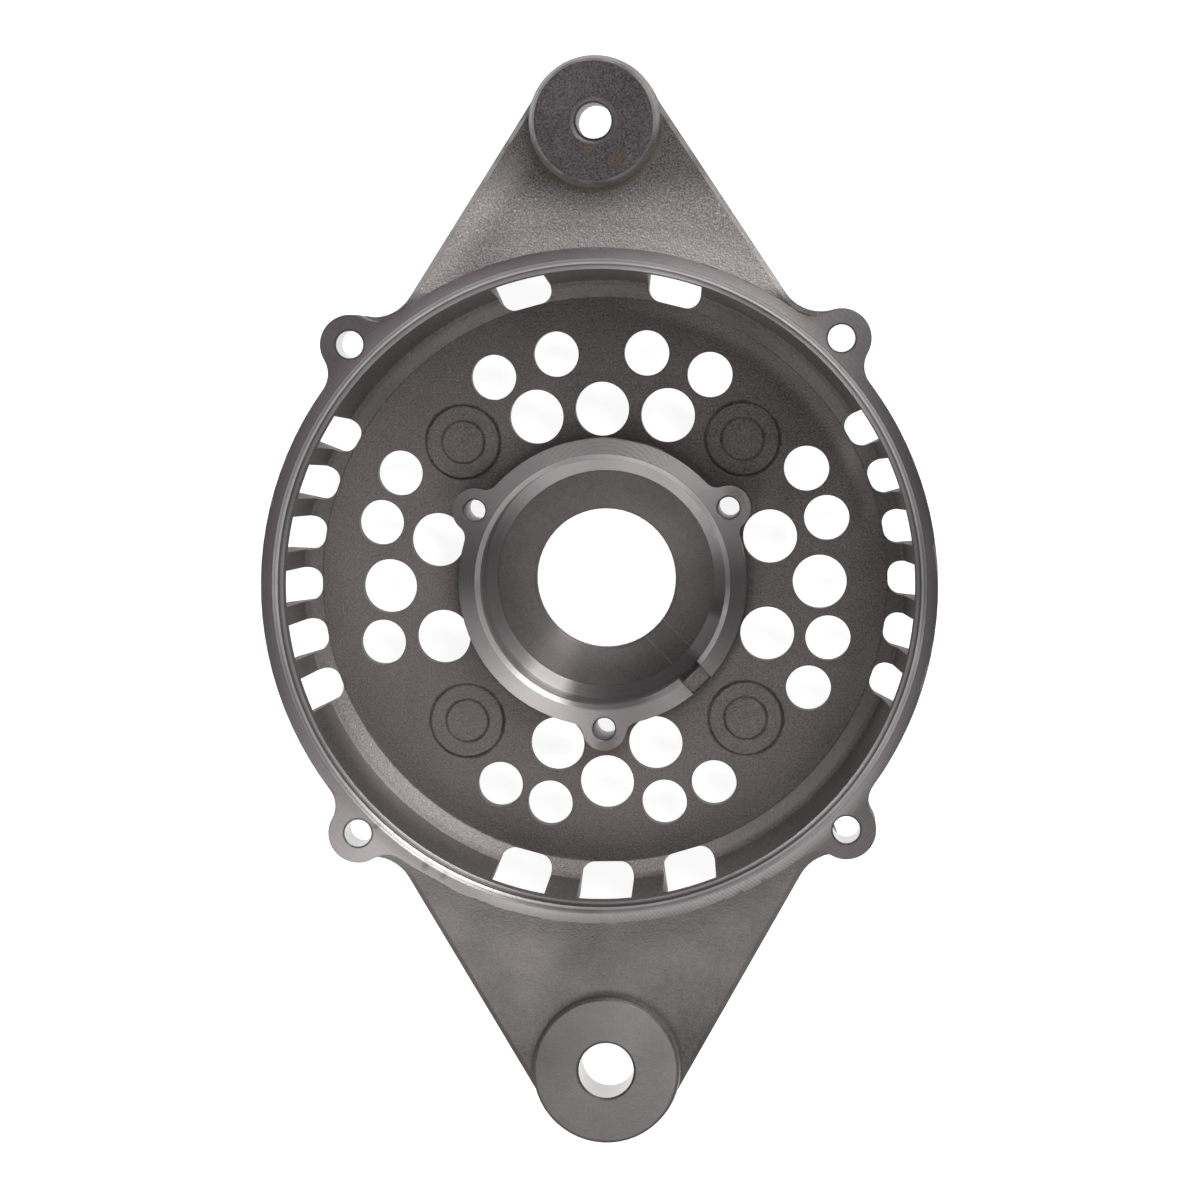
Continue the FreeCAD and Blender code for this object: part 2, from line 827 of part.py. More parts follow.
def screw_holes():
    edge = S["hole_edge_break"]
    pitch = FULL_TURN / SCREW_COUNT
    screw = cut_hole(
        "screw_hole", -SCREW_CIRCLE_R, SCREW_HOLE_R, HUB_Z, SCREW_BOSS_Z, edge
    )
    repeat_round("screw_holes", screw, SCREW_COUNT, pitch)


def lug_holes():
    sketch = new_sketch("lug_hole_outline", height=RIM_Z + OVERRUN)
    draw_circle(sketch, polar(LUG_CIRCLE_R, LUG_ANGLE), LUG_HOLE_R)
    hole = cut_down("lug_hole", sketch, S["lug_length"] + OVERRUN * 2)
    repeat_round("lug_holes", hole, LUG_COUNT, FULL_TURN / LUG_COUNT)

    def on_mouth(edge, middle):
        if not isinstance(edge.Curve, Part.Circle):
            return False
        if abs(edge.Curve.Radius - LUG_HOLE_R.value) > NEAR:
            return False
        return abs(middle.z - RIM_Z.value) < NEAR

    mouths = edges_where(on_mouth)
    chamfer("lug_hole_mouths", mouths, S["hole_edge_break"])


def check_document():
    """Stops if any object of the document failed, or the casting isn't one solid."""
    for item in doc.Objects:
        if "Invalid" in item.State or "Error" in item.State:
            raise RuntimeError(f"{item.Name} failed: {item.State}")
    shape = body.Shape
    if shape.isNull() or not shape.isValid() or len(shape.Solids) != 1:
        raise RuntimeError("the casting is not one valid solid")


ear("upper", 1)
ear("lower", -1)
outer_form()
rim_lugs()
bowl_inside()
screw_bosses()
bearing_pocket()
nose_recess()
bolt_holes()
screw_holes()
lug_holes()
keyway()
pin_marks()
vents()
side_windows()
ear_windows()
body.Placement = FreeCAD.Placement()
doc.recompute()
check_document()
os.makedirs("parts", exist_ok=True)
body.Shape.exportStep(f"parts/{NODE}.step")
print(f"{NODE}: {body.Shape.Volume / 1000:.1f} cm3")
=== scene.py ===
import json
import math

import bpy
from mathutils import Euler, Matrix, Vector

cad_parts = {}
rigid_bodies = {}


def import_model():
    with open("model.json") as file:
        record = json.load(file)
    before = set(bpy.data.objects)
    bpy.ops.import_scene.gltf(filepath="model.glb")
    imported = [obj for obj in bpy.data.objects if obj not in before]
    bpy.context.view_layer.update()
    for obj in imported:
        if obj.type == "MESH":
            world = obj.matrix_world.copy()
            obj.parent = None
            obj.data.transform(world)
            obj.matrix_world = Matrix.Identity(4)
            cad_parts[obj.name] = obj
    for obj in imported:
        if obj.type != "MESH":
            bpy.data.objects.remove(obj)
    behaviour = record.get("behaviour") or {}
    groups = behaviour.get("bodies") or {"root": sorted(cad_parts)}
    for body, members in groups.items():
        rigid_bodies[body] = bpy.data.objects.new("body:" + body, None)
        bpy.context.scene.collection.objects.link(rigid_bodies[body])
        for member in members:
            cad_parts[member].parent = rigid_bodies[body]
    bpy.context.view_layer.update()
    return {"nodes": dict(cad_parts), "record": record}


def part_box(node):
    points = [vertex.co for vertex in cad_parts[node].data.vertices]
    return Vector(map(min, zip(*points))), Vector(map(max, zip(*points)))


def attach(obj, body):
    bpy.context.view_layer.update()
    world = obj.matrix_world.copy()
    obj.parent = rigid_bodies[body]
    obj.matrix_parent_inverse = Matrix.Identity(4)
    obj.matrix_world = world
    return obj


# Looks of an alternator end housing: one aluminium casting with machined faces.
# Heights, radii and places are in the part's own frame. +Z is the bearing axis.
# Shader formulas work in millimetres and degrees, and Blender's objects in metres.

for leftover in list(bpy.data.objects):
    bpy.data.objects.remove(leftover)

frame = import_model()

NODE = "end_housing"
MM = 0.001
FULL_TURN = 360.0

# Heights and radii that the frame gives
box_low, box_high = (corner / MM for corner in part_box(NODE))
mounts = {mount["name"]: mount for mount in frame["record"]["mounts"]}
dims = {name: mount["dims"] for name, mount in mounts.items()}
NOSE_Z = box_low.z
RIM_Z = box_high.z
RIM_R = box_high.x
BORE_R = dims["bearing_bore"]["r_mm"]
BORE_DEPTH = dims["bearing_bore"]["length_mm"]
UPPER_HOLE = Vector(mounts["adjuster_thread"]["pos_m"]) / MM
UPPER_HOLE_R = dims["adjuster_thread"]["r_mm"]
UPPER_HOLE_DEPTH = dims["adjuster_thread"]["length_mm"]
LOWER_HOLE = Vector(mounts["pivot_bore"]["pos_m"]) / MM
LOWER_HOLE_R = dims["pivot_bore"]["r_mm"]
LUG_AT = dims["rim_lugs"]["pcd_mm"] / 2 * math.sqrt(0.5)
LUG_HOLE_R = dims["rim_lugs"]["hole_r_mm"]
HUB_Z = mounts["retainer_screws"]["pos_m"][2] / MM

# Other heights and radii of the casting, set back from those
FLOOR_Z = RIM_Z - 22.5
HUB_R = BORE_R + 4.0
HUB_BOSSES_R = HUB_R + 6.0
SEAT_RING_R = BORE_R - 2.5
CHAMFER_R = RIM_R - 2.0
REGISTER_R = RIM_R - 3.1
SEAT_R = RIM_R - 4.0
SEAT_Z = RIM_Z - 2.0
WALL_FOOT_R = SEAT_R - 1.9
WALL_FOOT_Z = FLOOR_Z + 3.3
WALL_MIDDLE_R = WALL_FOOT_R + 1.2
WALL_LEAN = 0.11
SHOULDER_TOP_Z = WALL_FOOT_Z - 0.6
FLOOR_R = WALL_FOOT_R - 3.3
BOSS_Z = RIM_Z - 5.0
LUG_FOOT_Z = RIM_Z - 11.0
UPPER_BOSS_R = 12.4
LOWER_BOSS_R = 13.9

# How far a face's mask reaches past the face, and half the width of a crisp step
PAST = 0.1
CRISP = 0.05


# A Mix node's sockets for colours: the two that go in, and the one that comes out
MIX_FIRST = 6
MIX_SECOND = 7
MIX_RESULT = 2


# Formulas in a shader
class Value:
    """A number in a shader. It can be added and multiplied like any other."""

    def __init__(self, shader, socket):
        self.shader = shader
        self.socket = socket

    def worked(self, operation, *others):
        return self.shader.worked(operation, self, *others)

    def __add__(self, other):
        return self.worked("ADD", other)

    def __radd__(self, other):
        return self.worked("ADD", other)

    def __sub__(self, other):
        return self.worked("SUBTRACT", other)

    def __rsub__(self, other):
        return self.shader.worked("SUBTRACT", other, self)

    def __mul__(self, other):
        return self.worked("MULTIPLY", other)

    def __rmul__(self, other):
        return self.worked("MULTIPLY", other)

    def __truediv__(self, other):
        return self.worked("DIVIDE", other)

    def larger(self, other):
        return self.worked("MAXIMUM", other)

    def without(self, other):
        """This mask less another mask."""
        return self * (1 - other)


class Shader:
    """One material's nodes, with the places that its formulas are made of."""

    def __init__(self, name):
        self.material = bpy.data.materials.new(name)
        self.material.use_nodes = True
        self.tree = self.material.node_tree
        self.tree.nodes.clear()
        place = self.node("ShaderNodeTexCoord")
        scaled = self.node("ShaderNodeVectorMath", operation="SCALE")
        self.plug(scaled.inputs[0], place.outputs["Object"])
        scaled.inputs["Scale"].default_value = 1 / MM
        self.point = scaled.outputs[0]
        self.x, self.y, self.z = self.parts(self.point)
        self.flat = self.vector(self.x, self.y, 0.0)
        self.up = self.parts(place.outputs["Normal"])[2]
        self.radius = self.distance(0, 0)
        self.angle = self.turn()

    def node(self, kind, **settings):
        node = self.tree.nodes.new(kind)
        for name, setting in settings.items():
            setattr(node, name, setting)
        return node

    def plug(self, socket, source):
        """Feeds a socket from a Value, from another socket, or with a constant."""
        if isinstance(source, Value):
            source = source.socket
        if isinstance(source, bpy.types.NodeSocket):
            self.tree.links.new(source, socket)
        else:
            socket.default_value = source

    def worked(self, operation, *terms):
        node = self.node("ShaderNodeMath", operation=operation)
        for socket, term in zip(node.inputs, terms):
            self.plug(socket, term)
        return Value(self, node.outputs[0])

    def parts(self, vector):
        node = self.node("ShaderNodeSeparateXYZ")
        self.plug(node.inputs[0], vector)
        return [Value(self, output) for output in node.outputs]

    def vector(self, x, y, z):
        node = self.node("ShaderNodeCombineXYZ")
        for socket, term in zip(node.inputs, (x, y, z)):
            self.plug(socket, term)
        return node.outputs[0]

    def distance(self, x, y):
        """How far the surface is from a line parallel to Z at x, y."""
        return self.flat_distance(self.flat, x, y)

    def flat_distance(self, flat_place, x, y):
        node = self.node("ShaderNodeVectorMath", operation="DISTANCE")
        self.plug(node.inputs[0], flat_place)
        self.plug(node.inputs[1], (x, y, 0.0))
        return Value(self, node.outputs["Value"])

    def quarter_distance(self, place):
        """How far the surface is from the nearest of four such lines, one in each quarter."""
        folded = self.node("ShaderNodeVectorMath", operation="ABSOLUTE")
        self.plug(folded.inputs[0], self.flat)
        return self.flat_distance(folded.outputs[0], place, place)

    def turn(self):
        """The angle about the bearing axis, in degrees from 0 to 360."""
        radians = self.worked("ARCTAN2", self.y, self.x)
        return self.worked("MODULO", radians * math.degrees(1) + FULL_TURN, FULL_TURN)

    def above(self, value, edge, soft, first=0.0, last=1.0):
        """1 where the value is above the edge and 0 below it, with a soft step."""
        node = self.node("ShaderNodeMapRange", interpolation_type="SMOOTHSTEP")
        for socket, term in zip(node.inputs, (value, edge - soft, edge + soft, first, last)):
            self.plug(socket, term)
        return Value(self, node.outputs[0])

    def below(self, value, edge, soft):
        """1 where the value is below the edge and 0 above it, with a soft step."""
        return self.above(value, edge, soft, 1.0, 0.0)

    def between(self, value, low, high, soft):
        return self.above(value, low, soft) * self.below(value, high, soft)

    def line(self, value, middle, half):
        """A soft line where the value is near the middle."""
        return self.between(value, middle - half, middle + half, half)

    def ring(self, low, high, soft=0.1):
        """A ring about the bearing axis."""
        return self.between(self.radius, low, high, soft)

    def arc(self, middle, half, soft):
        """1 in the directions near an angle, seen from the bearing axis."""
        away = self.worked("PINGPONG", self.angle + (FULL_TURN - middle), FULL_TURN / 2)
        return self.below(away, half, soft)

    def round_axis(self, stops):
        """A number from -1 to 1 that changes round the bearing axis, by stops of an angle and its number."""
        node = self.node("ShaderNodeValToRGB")
        self.plug(node.inputs[0], self.angle / FULL_TURN)
        ramp = node.color_ramp
        ramp.interpolation = "EASE"
        ramp.elements.remove(ramp.elements[0])
        for place, (angle, number) in enumerate(stops):
            stop = ramp.elements.new(angle / FULL_TURN) if place else ramp.elements[0]
            stop.position = angle / FULL_TURN
            stop.color = (*[(number + 1) / 2] * 3, 1.0)
        return self.worked("MULTIPLY_ADD", node.outputs["Color"], 2.0, -1.0)

    def noise(self, size, detail=2.0, rough=0.5, at=None):
        """Smooth noise between -1 and 1, whose lumps are about that large."""
        node = self.node("ShaderNodeTexNoise")
        self.plug(node.inputs["Vector"], self.point if at is None else at)
        node.inputs["Scale"].default_value = 1 / size
        node.inputs["Detail"].default_value = detail
        node.inputs["Roughness"].default_value = rough
        return self.worked("MULTIPLY_ADD", node.outputs["Fac"], 2.0, -1.0)

    def turned_marks(self, pitch):
        """Fine grooves round the bearing axis, as a lathe leaves them."""
        return self.noise(pitch, detail=3.0, rough=0.7, at=self.vector(self.radius, 0.0, 0.0))

    def mixed(self, factor, first, second):
        """A colour or a number between two others. Factor 0 gives the first."""
        if not isinstance(second, tuple):
            return first + (second - first) * factor
        node = self.node("ShaderNodeMix", data_type="RGBA")
        self.plug(node.inputs["Factor"], factor)
        self.plug(node.inputs[MIX_FIRST], first)
        self.plug(node.inputs[MIX_SECOND], (*second, 1.0))
        return node.outputs[MIX_RESULT]

    def tinted(self, colour, factor):
        """A colour made lighter or darker by a factor."""
        node = self.node("ShaderNodeVectorMath", operation="SCALE")
        self.plug(node.inputs[0], colour)
        self.plug(node.inputs["Scale"], factor)
        return node.outputs[0]

    def outward(self, on_boss):
        """The direction out from the bearing axis, or on the lower boss from that boss's hole."""
        return self.vector(self.x, self.y - on_boss * LOWER_HOLE.y, 0.0)

    def bumped(self, height, depth, normal=None, strength=1.0):
        node = self.node("ShaderNodeBump")
        node.inputs["Distance"].default_value = depth * MM
        self.plug(node.inputs["Strength"], strength)
        self.plug(node.inputs["Height"], height)
        if normal is not None:
            self.plug(node.inputs["Normal"], normal)
        return node.outputs[0]

    def finished(self, colour, roughness, metallic, normal, brushed=None, across=None):
        """The whole material. Brushed metal reflects a light as a streak across its grooves."""
        metal = self.node("ShaderNodeBsdfPrincipled")
        self.plug(metal.inputs["Base Color"], colour)
        self.plug(metal.inputs["Roughness"], roughness)
        self.plug(metal.inputs["Metallic"], metallic)
        self.plug(metal.inputs["Normal"], normal)
        if brushed is not None:
            self.plug(metal.inputs["Anisotropic"], brushed)
            self.plug(metal.inputs["Tangent"], across)
        output = self.node("ShaderNodeOutputMaterial")
        self.plug(output.inputs["Surface"], metal.outputs[0])
        return self.material


# Colours of the casting
CAST = (0.150, 0.132, 0.129)
# SHOULDER, WALL, POCKET, OUTER and EAR are lighter copies of the cast skin's grey, as painted light.
SHOULDER = (0.255, 0.234, 0.228)
WALL = (0.250, 0.230, 0.224)
POCKET = (0.185, 0.168, 0.165)
OUTER = (0.200, 0.183, 0.178)
EAR = (0.235, 0.217, 0.211)
BOSS = (0.170, 0.149, 0.154)
TURNED = (0.180, 0.168, 0.167)
RIM_FACE = (0.262, 0.237, 0.239)
PLUM = (0.264, 0.222, 0.236)
HUB_FACE = (0.273, 0.252, 0.252)
SEATS = (0.39, 0.366, 0.367)
BARE = (0.58, 0.556, 0.556)
PALE = (0.258, 0.248, 0.238)
# DARK_LINE is painted shade in corners and in the sunken lines round the pin marks, and the colour of real
# scuffs
DARK_LINE = (0.034, 0.030, 0.031)
# This dark brown is the colour of real oil stains, of brown-tinted painted shade round the upper boss's foot,
# and of the lower ear's darker left flank
DARK_BROWN = (0.135, 0.103, 0.062)

# Ejector pin marks, one in each quarter of the plate
PIN_MARK_AT = 26.9
PIN_MARK_R = 7.15
PIN_R = 4.1

# Keyway: its direction from the bearing axis and half its width
KEY_ANGLE = 313.5
KEY_HALF = 2.4

# Oil stains and dark scuffs: across, along and radius
STAINS = ((-1.0, 81.9, 1.2), (4.6, 80.2, 1.5), (25.4, 16.4, 1.8), (0.6, -31.6, 2.4), (40.0, 50.2, 0.9))
SCUFFS = (
    (-33.2, -52.2, 1.3), (-42.4, -44.6, 0.9), (-30.0, -54.3, 1.2), (26.1, -57.9, 1.0), (30.6, -55.5, 0.8),
    (22.5, -14.8, 0.35),
)

# Where a cutter's arcs on the hub and its hatching on the rim curve round, and the lower ear's pale cloud
HUB_ARCS_AT = (0.5, 17.0)
HATCHING_AT = (52.0, -22.0)
PALE_CLOUD_AT = (-15.0, -70.5)

# The upper ear's left side: the direction out of it, and how far the bearing axis is from its edge
LEFT_SIDE = Vector((-0.826, 0.563))
LEFT_EDGE = 55.5

# Rounded edges, the sizes of the metal's marks and how deep the grain is
EDGE_ROUND = 0.35
GRAIN_SIZE = 0.36
SPECK_SIZE = 0.5
LUMP_SIZE = 1.3
SPOT_SIZE = 4.5
CLOUD_SIZE = 13.0
TURNING_PITCH = 0.35
GRAIN_DEPTH = 0.05

# How rough and how metallic the faces are, and the darkest that a tone gets
CAST_ROUGHNESS = 0.6
MACHINED_ROUGHNESS = 0.37
HOLE_ROUGHNESS = 0.12
CAST_METAL = 0.85
DARKEST = 0.2

# How strongly each kind of face is brushed round its axis
TURNED_BRUSHED = 0.91
BOSS_BRUSHED = 0.3
POCKET_BRUSHED = 0.6

# Painted highlights and shade on the faces, as lighter and darker stretches: an angle round the bearing axis,
# and how much lighter it is there
PAINTED_LIGHT_ROUND = {
    "rim_ring": (
        (0, 0.1), (40, -0.1), (60, 0.15), (110, 0.35), (140, 0.0), (200, 0.1), (240, -0.38), (262, 0.4),
        (280, 1.0), (300, 0.7), (340, 0.3), (360, 0.1),
    ),
    "rim_chamfer": (
        (0, 0.0), (30, 0.4), (60, 0.0), (110, 0.15), (140, -0.1), (180, 0.6), (200, 0.2), (262, 0.1),
        (285, 0.3), (322, 1.0), (345, 0.8), (360, 0.0),
    ),
    "rim_seat": (
        (0, 0.1), (30, 0.35), (60, -0.5), (80, 0.3), (160, 0.0), (180, 0.6), (240, 0.3), (260, -0.35),
        (285, 0.2), (320, 1.0), (345, 0.4), (360, 0.1),
    ),
    "hub": (
        (0, -0.35), (22, 0.25), (68, -0.2), (104, 0.45), (130, 0.1), (175, -0.22), (200, 0.75), (230, 0.45),
        (300, 0.4), (320, -0.1), (345, -0.3), (360, -0.35),
    ),
    "mouth": (
        (0, -0.25), (20, 0.55), (40, 0.1), (60, 0.4), (180, 0.3), (200, 0.75), (246, 0.4), (258, -0.3),
        (284, -0.35), (300, 0.3), (318, 0.3), (325, 1.0), (345, 1.0), (352, 0.2), (360, -0.25),
    ),
    "bore": (
        (0, -0.05), (20, 0.8), (62, 0.2), (100, 0.65), (158, -0.28), (222, 0.1), (234, 0.8), (246, 0.8),
        (256, -0.3), (316, -0.3), (322, 0.35), (338, 0.35), (343, -0.36), (360, -0.05),
    ),
    "pocket": (
        (0, 0.05), (20, 0.2), (60, 0.0), (215, 0.05), (236, 0.6), (256, 0.15), (310, -0.1), (360, 0.05),
    ),
    "shoulder": (
        (0, -0.2), (15, -0.1), (40, 0.4), (60, 0.0), (120, 0.45), (140, 0.2), (185, 0.25), (220, 1.0),
        (240, 0.8), (262, 0.35), (280, 0.85), (318, 0.78), (345, 0.1), (360, -0.2),
    ),
    "wall_foot": ((185, 0.0), (206, 0.6), (222, 1.0), (236, 0.5), (250, 0.15), (262, 0.0)),
    "plate_edge": (
        (2, 0.0), (30, 0.6), (66, 0.6), (94, 0.0), (278, 0.0), (302, 0.05), (322, -0.15), (340, 0.1),
        (354, 0.0),
    ),
}


def zones(s, spots):
    """The casting's faces, each as a mask, by its place."""
    near_hub = s.below(s.radius, HUB_BOSSES_R, 0.2)
    inside = s.below(s.radius, SEAT_R + 0.3, 0.1).without(near_hub)
    beyond_wall = s.above(s.radius - (s.z - WALL_FOOT_Z) * WALL_LEAN, WALL_MIDDLE_R, 0.3)
    outer = beyond_wall.larger(s.below(s.up, -0.3, 0.2))
    boss_top = s.between(s.z, BOSS_Z - PAST, BOSS_Z + PAST, CRISP)
    ear = s.above(s.radius, RIM_R + CRISP, CRISP) * s.below(s.z, RIM_Z - 0.3, 0.2) * s.above(s.up, 0.6, 0.2)
    plate = s.between(s.z, FLOOR_Z - 0.9, FLOOR_Z + PAST, 0.1) * s.below(s.radius, FLOOR_R, 0.1)
    wall = s.between(s.z, SHOULDER_TOP_Z, SEAT_Z - PAST, 0.5) * inside
    pocket = s.below(s.z, -0.15, CRISP) * s.below(s.radius, SEAT_RING_R + CRISP, 0.1)
    chips = s.above(s.radius + spots * 0.8, RIM_R - 0.12, 0.1) * s.above(s.quarter_distance(LUG_AT), 9.0, 1.0)
    rim = s.above(s.z, RIM_Z - PAST, CRISP).without(chips)
    return {
        "plate": plate,
        "plate_edge": plate * s.above(s.radius, FLOOR_R - 2.6, 1.4),
        "shoulder": s.above(s.z, FLOOR_Z + 0.15, 0.15) * s.below(s.z, SHOULDER_TOP_Z, 0.7) * inside,
        "wall": wall,
        "wall_foot": wall * s.below(s.z, WALL_FOOT_Z + 5.5, 6.0),
        "rim": rim,
        "rim_ring": rim * s.below(s.radius, RIM_R - 0.5, 1.5),
        "rim_chamfer": band(s, SEAT_Z + 0.95, RIM_Z - 0.06, CRISP, REGISTER_R - PAST, CHAMFER_R + PAST),
        "register": band(s, SEAT_Z + 0.05, SEAT_Z + 0.9, CRISP, REGISTER_R - PAST, REGISTER_R + PAST),
        "rim_seat": band(s, SEAT_Z - PAST, SEAT_Z + 0.05, 0.02, SEAT_R - PAST, REGISTER_R),
        "hub": s.above(s.z, HUB_Z - PAST, CRISP) * near_hub,
        "mouth": band(s, BORE_DEPTH + 0.02, HUB_Z - 0.04, 0.03, BORE_R - PAST, BORE_R + 1.05),
        "bore": band(s, -PAST, BORE_DEPTH, CRISP, SEAT_RING_R - CRISP, BORE_R + PAST),
        "pocket": pocket * s.above(s.up, 0.5, 0.2),
        "outer": outer,
        "side_chamfer": outer * s.between(s.up, 0.15, 0.97, 0.02),
        "upper_ear": ear * s.above(s.y, 0.0, 1.0),
        "lower_ear": ear * s.below(s.y, 0.0, 1.0),
        "upper_boss": boss_top * s.below(s.distance(*UPPER_HOLE.xy), UPPER_BOSS_R, 0.2),
        "lower_boss": boss_top * s.below(s.distance(*LOWER_HOLE.xy), LOWER_BOSS_R, 0.2),
        "holes": hole_walls(s),
    }


def band(s, low, high, soft, inner_r, outer_r):
    """A turned face, between two heights and two radii."""
    return s.between(s.z, low, high, soft) * s.ring(inner_r, outer_r)


def hole_walls(s):
    """The walls of the drilled holes."""
    upper = s.below(s.distance(*UPPER_HOLE.xy), UPPER_HOLE_R + CRISP, 0.03)
    lower = s.below(s.distance(*LOWER_HOLE.xy), LOWER_HOLE_R + CRISP, 0.03)
    lugs = s.below(s.quarter_distance(LUG_AT), LUG_HOLE_R + CRISP, 0.03) * s.above(s.z, LUG_FOOT_Z, CRISP)
    return upper.larger(lower).larger(lugs)


def any_of(masks, *names):
    """One mask of several."""
    whole = masks[names[0]]
    for name in names[1:]:
        whole = whole.larger(masks[name])
    return whole


def zone_colours(s, masks):
    """Each face's grey: machined faces are lighter than the cast skin, and the shoulder, wall, pocket, outer
    faces and ears get lighter copies of the cast skin's grey as painted light.
    """
    colour = s.vector(*CAST)
    layers = (
        ("wall", WALL), ("shoulder", SHOULDER), ("pocket", POCKET), ("outer", OUTER),
        ("upper_ear", EAR), ("lower_ear", EAR), ("upper_boss", BOSS), ("lower_boss", TURNED),
        ("rim", RIM_FACE), ("hub", HUB_FACE), ("bore", SEATS), ("rim_seat", SEATS),
        ("mouth", BARE), ("rim_chamfer", BARE), ("holes", BARE), ("register", CAST),
    )
    for name, grey in layers:
        colour = s.mixed(masks[name], colour, grey)
    return colour


def bare_edges_and_highlights(s, masks, spots, colour):
    """Bare metal at the upper hole's mouth, on the wall's parting line and on the keyway mark's bright edges,
    and painted highlights on the upper ear's side chamfers, round its boss's edge and on the right of the
    lower boss's edge.
    """
    patchy = s.above(spots, -0.1, 0.3)
    upper_r = s.distance(*UPPER_HOLE.xy)
    lower_r = s.distance(*LOWER_HOLE.xy)
    # Painted highlight on the upper ear's side chamfers, patchy, and stronger on the left
    flank = masks["side_chamfer"] * s.above(s.y, RIM_R - 6.5, 2.0)
    flank = flank * (1 + s.below(s.x, -8.0, 6.0) * 0.8)
    # Painted highlight round the upper boss's edge
    boss_edge = s.line(upper_r, UPPER_BOSS_R + 0.2, 0.16) * s.above(s.z, BOSS_Z - 0.6, 0.3)
    mouth = s.line(upper_r, UPPER_HOLE_R + 0.45, 0.3)
    # Painted highlight on the lower boss's edge, on its right side
    lower_edge = s.line(lower_r, LOWER_BOSS_R + 0.1, 0.12) * s.above(s.x, 4.0, 4.0)
    parting = s.line(s.z, WALL_FOOT_Z + 0.35, 0.10) * s.above(spots, 0.05, 0.12) * masks["wall"]
    bare_and_highlit = (flank * (0.15 + patchy * 0.3)).larger(boss_edge * (0.05 + patchy * 0.2))
    bare_and_highlit = bare_and_highlit.larger(mouth.larger(lower_edge) * 0.45).larger(parting * 0.7)
    return s.mixed(bare_and_highlit.larger(key_lines(s, masks) * (0.15 + patchy * 0.25)), colour, BARE)


def key_lines(s, masks):
    """The two bright edges of the keyway's mark on the cast floor."""
    angle = math.radians(KEY_ANGLE)
    sideways = s.y * math.cos(angle) - s.x * math.sin(angle)
    near_key = s.arc(KEY_ANGLE, 30.0, 1.0) * s.below(s.radius, SEAT_RING_R, 0.1)
    return s.line(s.worked("ABSOLUTE", sideways), KEY_HALF, 0.11) * near_key * masks["pocket"]


def incised(s, masks, lumps, spots):
    """Sunken lines round the pin marks."""
    from_pin = s.quarter_distance(PIN_MARK_AT) + lumps * 0.2
    uneven = 0.45 + s.above(spots, 0.0, 0.35) * 0.55
    return (s.line(from_pin, PIN_MARK_R, 0.22) + s.line(from_pin, PIN_R, 0.2) * 0.8) * uneven * masks["plate"]


def stains_and_painted_shade(s, masks, machined, lumps, colour):
    """Painted shade: dark lines round the hub's foot, in the rim seat's corner and round the lug holes'
    mouths. Brown-tinted painted shade round the upper boss's foot, the lower ear's left flank darker and
    browner, and real oil stains and scuffs in a few small places.
    """
    # Painted shade and shadow: round the hub's foot, in the rim seat's corner, round the lug holes' mouths,
    # and a shadow line at the hub's foot on its lower right
    foot = s.below(s.radius + lumps * 0.5, HUB_R + 1.0, 0.9) * masks["plate"]
    seat_corner = masks["rim_seat"] * s.above(s.radius, REGISTER_R - 0.32, 0.06)
    lug_mouth = s.line(s.quarter_distance(LUG_AT), LUG_HOLE_R + 0.2, 0.14) * masks["rim"]
    hub_foot = s.line(s.radius, HUB_R + 0.2, 0.2) * masks["plate"] * s.arc(300.0, 60.0, 20.0)
    dark = (foot * 0.5).larger(seat_corner * 0.35).larger(lug_mouth * 0.5).larger(hub_foot * 0.8)
    colour = s.mixed(dark, colour, DARK_LINE)
    # Brown-tinted painted shade round the upper boss's foot on its lower side, and the lower ear's left flank
    # darker and browner
    boss_foot = s.between(s.distance(*UPPER_HOLE.xy), UPPER_BOSS_R + 0.05, UPPER_BOSS_R + 0.9, 0.15)
    boss_foot = boss_foot * s.below(s.y, UPPER_HOLE.y - 3.0, 6.0)
    lower_flank = masks["side_chamfer"] * s.below(s.y, 8.0 - RIM_R, 4.0)
    colour = s.mixed((boss_foot * 0.5).larger(lower_flank * s.below(s.x, 0.0, 3.0) * 0.4), colour, DARK_BROWN)
    facing_up = s.above(s.up, 0.4, 0.2)
    for x, y, radius in STAINS:
        blot = s.below(s.distance(x, y) + lumps * radius * 0.7, radius, radius * 0.7) * facing_up
        colour = s.mixed(blot * 0.5, colour, DARK_BROWN)
    for x, y, radius in SCUFFS:
        scuff = s.below(s.distance(x, y) + lumps * radius * 1.2, radius * 0.6, radius * 0.5)
        colour = s.mixed(scuff * machined * 0.45, colour, DARK_LINE)
    return colour


